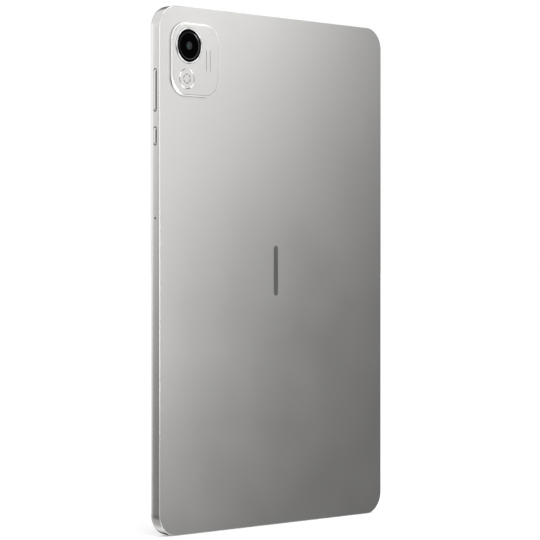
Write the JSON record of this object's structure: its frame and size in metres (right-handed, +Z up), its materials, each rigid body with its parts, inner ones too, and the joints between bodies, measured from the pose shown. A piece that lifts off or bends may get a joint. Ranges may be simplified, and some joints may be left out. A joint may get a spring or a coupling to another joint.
{
  "type": "tablet computer",
  "caption": "Slim metal-backed tablet with a raised rounded-square camera plate, side volume rocker and power key, USB-C socket and a full-face display.",
  "frame": {"origin": "middle of the bottom short edge, at the middle of the total thickness", "axes": "+Z up the long side towards the camera end, +X towards the side with the keys, +Y out of the back; the display faces -Y"},
  "size_m": [0.1677, 0.0086, 0.2673],
  "materials": {
    "shell_aluminium": "fine bead-blasted, anodised silver",
    "key_aluminium": "satin anodised silver",
    "ring_metal": "polished, with bright chamfers",
    "lens_glass": "coated, clear",
    "black_plastic": "matt black",
    "spring_steel": "bright stainless",
    "mesh_steel": "fine dark mesh",
    "frame_metal": "dark grey cast",
    "cover_glass": "black-backed gloss",
    "panel_film": "dark polariser",
    "backlight_film": "white diffuser",
    "adhesive_foam": "black foam tape",
    "flex_film": "amber polyimide",
    "chip_package": "moulded black epoxy",
    "battery_pouch": "wrapped pouch",
    "circuit_board": "green solder mask",
    "tinned_shield": "tinned",
    "graphite": "graphite sheet"
  },
  "bodies": {
    "tablet": {"rear_cover": "shell_aluminium", "camera_plate": "shell_aluminium", "camera_lens_ring": "ring_metal", "camera_window": "lens_glass", "rear_camera_lens": "lens_glass", "front_camera_lens": "lens_glass", "camera_baffle": "black_plastic", "rear_camera_barrel": "black_plastic", "front_camera_housing": "black_plastic", "usb_c_tongue": "black_plastic", "speaker_top_left": "black_plastic", "speaker_top_right": "black_plastic", "speaker_bottom_left": "black_plastic", "speaker_bottom_right": "black_plastic", "top_antenna": "black_plastic", "side_antenna": "black_plastic", "rear_camera_housing": "spring_steel", "frame_screw_1": "spring_steel", "frame_screw_2": "spring_steel", "frame_screw_3": "spring_steel", "frame_screw_4": "spring_steel", "frame_screw_5": "spring_steel", "frame_screw_6": "spring_steel", "key_dome_power": "spring_steel", "key_dome_volume_down": "spring_steel", "key_dome_volume_up": "spring_steel", "side_key_bracket": "spring_steel", "usb_c_shell": "spring_steel", "speaker_mesh_top_left": "mesh_steel", "speaker_mesh_top_right": "mesh_steel", "speaker_mesh_bottom_left": "mesh_steel", "speaker_mesh_bottom_right": "mesh_steel", "mid_frame": "frame_metal", "display_cover_glass": "cover_glass", "display_panel": "panel_film", "display_backlight": "backlight_film", "display_adhesive": "adhesive_foam", "rear_camera_flex": "flex_film", "front_camera_flex": "flex_film", "display_flex": "flex_film", "board_flex": "flex_film", "side_key_flex": "flex_film", "light_sensor": "chip_package", "processor_chip": "chip_package", "memory_chip": "chip_package", "power_chip": "chip_package", "side_microphone": "chip_package", "bottom_microphone": "chip_package", "battery_cell_left": "battery_pouch", "battery_cell_right": "battery_pouch", "battery_protection_board": "circuit_board", "main_board": "circuit_board", "usb_board": "circuit_board", "processor_shield": "tinned_shield", "power_shield": "tinned_shield", "wireless_shield": "tinned_shield", "thermal_sheet": "graphite"},
    "power_button": {"power_button": "key_aluminium"},
    "volume_rocker": {"volume_rocker": "key_aluminium"}
  },
  "joints": [
    {"name": "power_button_press", "type": "slide", "parent": "tablet", "child": "power_button", "axis": [-1, 0, 0], "range_m": [0, 0.0003], "stiffness_N_per_m": 2000},
    {"name": "volume_rocker_tilt", "type": "hinge", "parent": "tablet", "child": "volume_rocker", "pos_m": [0.0817, -0.00055, 0.2243], "axis": [0, 1, 0], "range_deg": [-1.5, 1.5], "stiffness_Nm_per_rad": 0.5}
  ]
}
